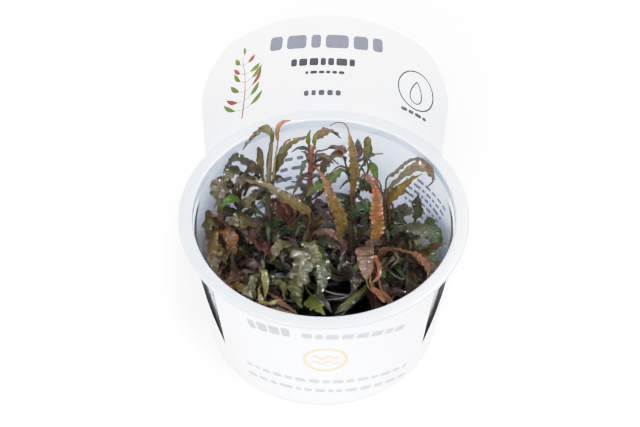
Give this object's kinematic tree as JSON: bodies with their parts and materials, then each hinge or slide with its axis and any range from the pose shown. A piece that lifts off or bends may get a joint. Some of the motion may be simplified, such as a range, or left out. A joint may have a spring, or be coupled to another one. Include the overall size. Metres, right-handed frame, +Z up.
{
  "type": "tissue culture aquarium plant cup",
  "caption": "Clear plastic cup of lobed hygrophila stems growing in jelly, wrapped in a white card sleeve with side windows and a tall rounded header card behind.",
  "frame": {"origin": "centre of the cup's round foot, on the surface it stands on", "axes": "+Z up; -Y towards the front label panel, +Y towards the header card, +X to the right seen from the front"},
  "size_m": [0.095, 0.1007, 0.0918],
  "materials": {
    "clear_tub": "clear, thin, slightly hazy",
    "white_card": "coated white, satin",
    "clear_jelly": "clear wet nutrient jelly",
    "brown_stem": "moist plant stem, brown to red brown",
    "olive_leaf": "moist leaf, olive to dark green",
    "orange_leaf": "moist leaf, orange brown to pink"
  },
  "bodies": {
    "root": {"cup": "clear_tub", "card_sleeve": "white_card", "jelly": "clear_jelly", "stem_back_left": "brown_stem", "stem_left": "brown_stem", "stem_left_wall": "brown_stem", "stem_back_centre": "brown_stem", "stem_back": "brown_stem", "stem_right": "brown_stem", "stem_right_wall": "brown_stem", "stem_right_front": "brown_stem", "stem_centre": "brown_stem", "stem_front_left": "brown_stem", "leaf_back_left_arch": "olive_leaf", "leaf_back_left_tip": "olive_leaf", "leaf_back_left_spatula": "olive_leaf", "leaf_back_long_arch": "olive_leaf", "leaf_centre_long_olive": "olive_leaf", "leaf_left_dark_arch": "olive_leaf", "leaf_left_olive": "olive_leaf", "leaf_left_hanging": "olive_leaf", "leaf_left_bright": "olive_leaf", "leaf_left_wall_green": "olive_leaf", "leaf_left_wall_olive": "olive_leaf", "leaf_left_broad": "olive_leaf", "leaf_left_orange_brown": "orange_leaf", "leaf_left_red_brown": "orange_leaf", "leaf_left_yellow_green": "olive_leaf", "leaf_back_brown_curl": "olive_leaf", "leaf_back_brown": "olive_leaf", "leaf_centre_orange": "orange_leaf", "leaf_centre_green": "olive_leaf", "leaf_back_shoot": "olive_leaf", "leaf_back_broad": "olive_leaf", "leaf_back_green": "olive_leaf", "leaf_back_purple": "olive_leaf", "leaf_back_spatula": "olive_leaf", "leaf_back_dark": "olive_leaf", "leaf_back_small_green": "olive_leaf", "leaf_back_dark_green": "olive_leaf", "leaf_right_orange": "orange_leaf", "leaf_right_pink": "orange_leaf", "leaf_centre_dark_green": "olive_leaf", "leaf_front_twisted": "orange_leaf", "leaf_right_curl_back": "olive_leaf", "leaf_right_curl_front": "olive_leaf", "leaf_right_olive": "olive_leaf", "leaf_right_dark_green": "olive_leaf", "leaf_right_dark": "olive_leaf", "leaf_right_bright": "olive_leaf", "leaf_right_rim": "olive_leaf", "leaf_right_orange_arch": "orange_leaf", "leaf_right_glossy": "olive_leaf", "leaf_front_lobed": "olive_leaf", "leaf_front_olive": "olive_leaf", "leaf_front_rim_green": "olive_leaf", "leaf_front_left_rim": "olive_leaf", "leaf_front_left_brown": "olive_leaf", "leaf_centre_pink": "orange_leaf", "leaf_centre_red": "orange_leaf"}
  },
  "joints": []
}
